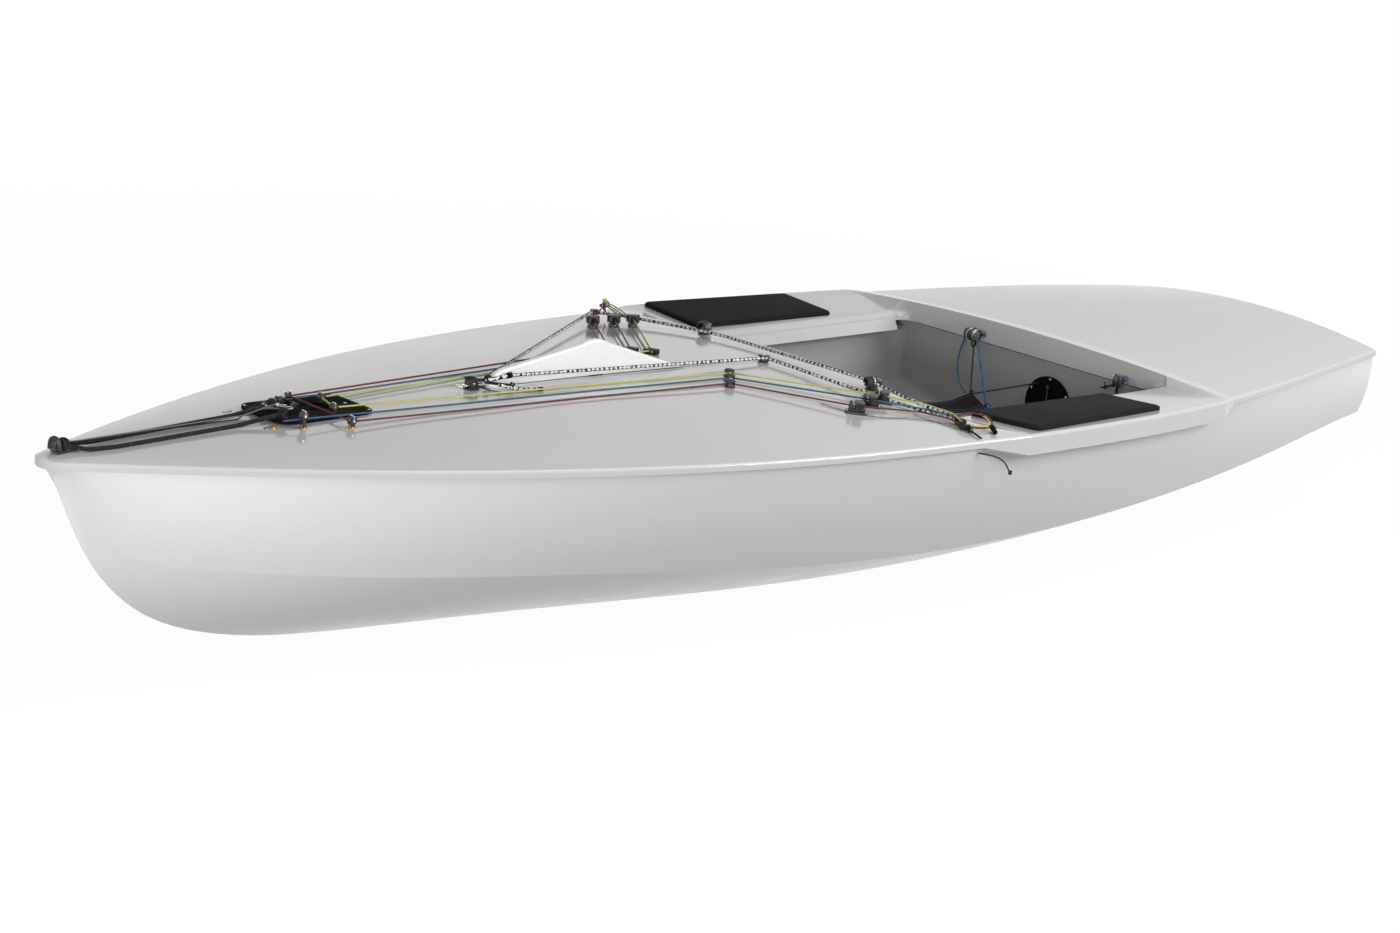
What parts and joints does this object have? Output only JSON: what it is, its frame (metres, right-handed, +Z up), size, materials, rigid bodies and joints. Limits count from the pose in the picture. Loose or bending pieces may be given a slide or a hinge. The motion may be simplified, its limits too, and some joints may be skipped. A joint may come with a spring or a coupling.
{
  "type": "sailing dinghy",
  "caption": "Single-handed sailing dinghy hull with hard chine, open cockpit, pivoting centreboard, deck mast gate, control-line blocks and cleats, hiking pads and toe strap.",
  "frame": {"origin": "amidships on the centreline at the waterline, 2.0 m forward of the transom", "axes": "+X to the bow, +Y to port, +Z up"},
  "size_m": [4.0423, 1.4222, 0.6576],
  "materials": {
    "gelcoat": "glossy white polyester gelcoat",
    "deck_gelcoat": "glossy pale grey-white gelcoat",
    "well_gelcoat": "satin pale grey gelcoat",
    "board_gelcoat": "satin white",
    "black_fitting": "satin black moulded nylon",
    "black_plate": "black composite",
    "stainless": "polished stainless steel",
    "foam": "matt black closed-cell foam",
    "webbing": "black woven webbing",
    "black_braid": "black braided cord",
    "flecked_braid": "black braid with white flecks",
    "blue_braid": "blue flecked braid"
  },
  "bodies": {
    "boat": {"hull": "gelcoat", "deck": "deck_gelcoat", "cockpit_tub": "well_gelcoat", "centreboard_case": "well_gelcoat", "centreboard_pivot": "stainless", "gate_blocks_port": "black_fitting", "gate_blocks_starboard": "black_fitting", "turning_blocks_port": "black_fitting", "turning_blocks_starboard": "black_fitting", "control_cleats_port": "black_fitting", "control_cleats_starboard": "black_fitting", "board_block_bow": "black_fitting", "board_block_port": "black_fitting", "board_block_starboard": "black_fitting", "swivel_cleat_port": "black_fitting", "swivel_cleat_starboard": "black_fitting", "mast_gate": "black_plate", "mast_tube": "black_fitting", "mast_step": "black_fitting", "bow_fairlead": "black_fitting", "hiking_pad_port": "foam", "hiking_pad_starboard": "foam", "toe_strap": "webbing", "strap_block_port": "black_fitting", "strap_block_starboard": "black_fitting", "hatch_ring": "black_fitting", "rudder_gudgeon_upper": "stainless", "rudder_gudgeon_lower": "stainless", "hanging_cord": "black_braid", "board_rope_tail": "flecked_braid", "adjuster_line": "blue_braid"},
    "board": {"centreboard": "board_gelcoat"},
    "hatch": {"hatch_cover": "black_fitting"}
  },
  "joints": [
    {"name": "centreboard_swing", "type": "hinge", "parent": "boat", "child": "board", "pos_m": [0.7, 0, 0.005], "axis": [0, -1, 0], "range_deg": [0, 80]},
    {"name": "hatch_turn", "type": "hinge", "parent": "boat", "child": "hatch", "pos_m": [-1.034, 0.078, 0.213], "axis": [1, 0, 0], "range_deg": [0, 90]}
  ]
}
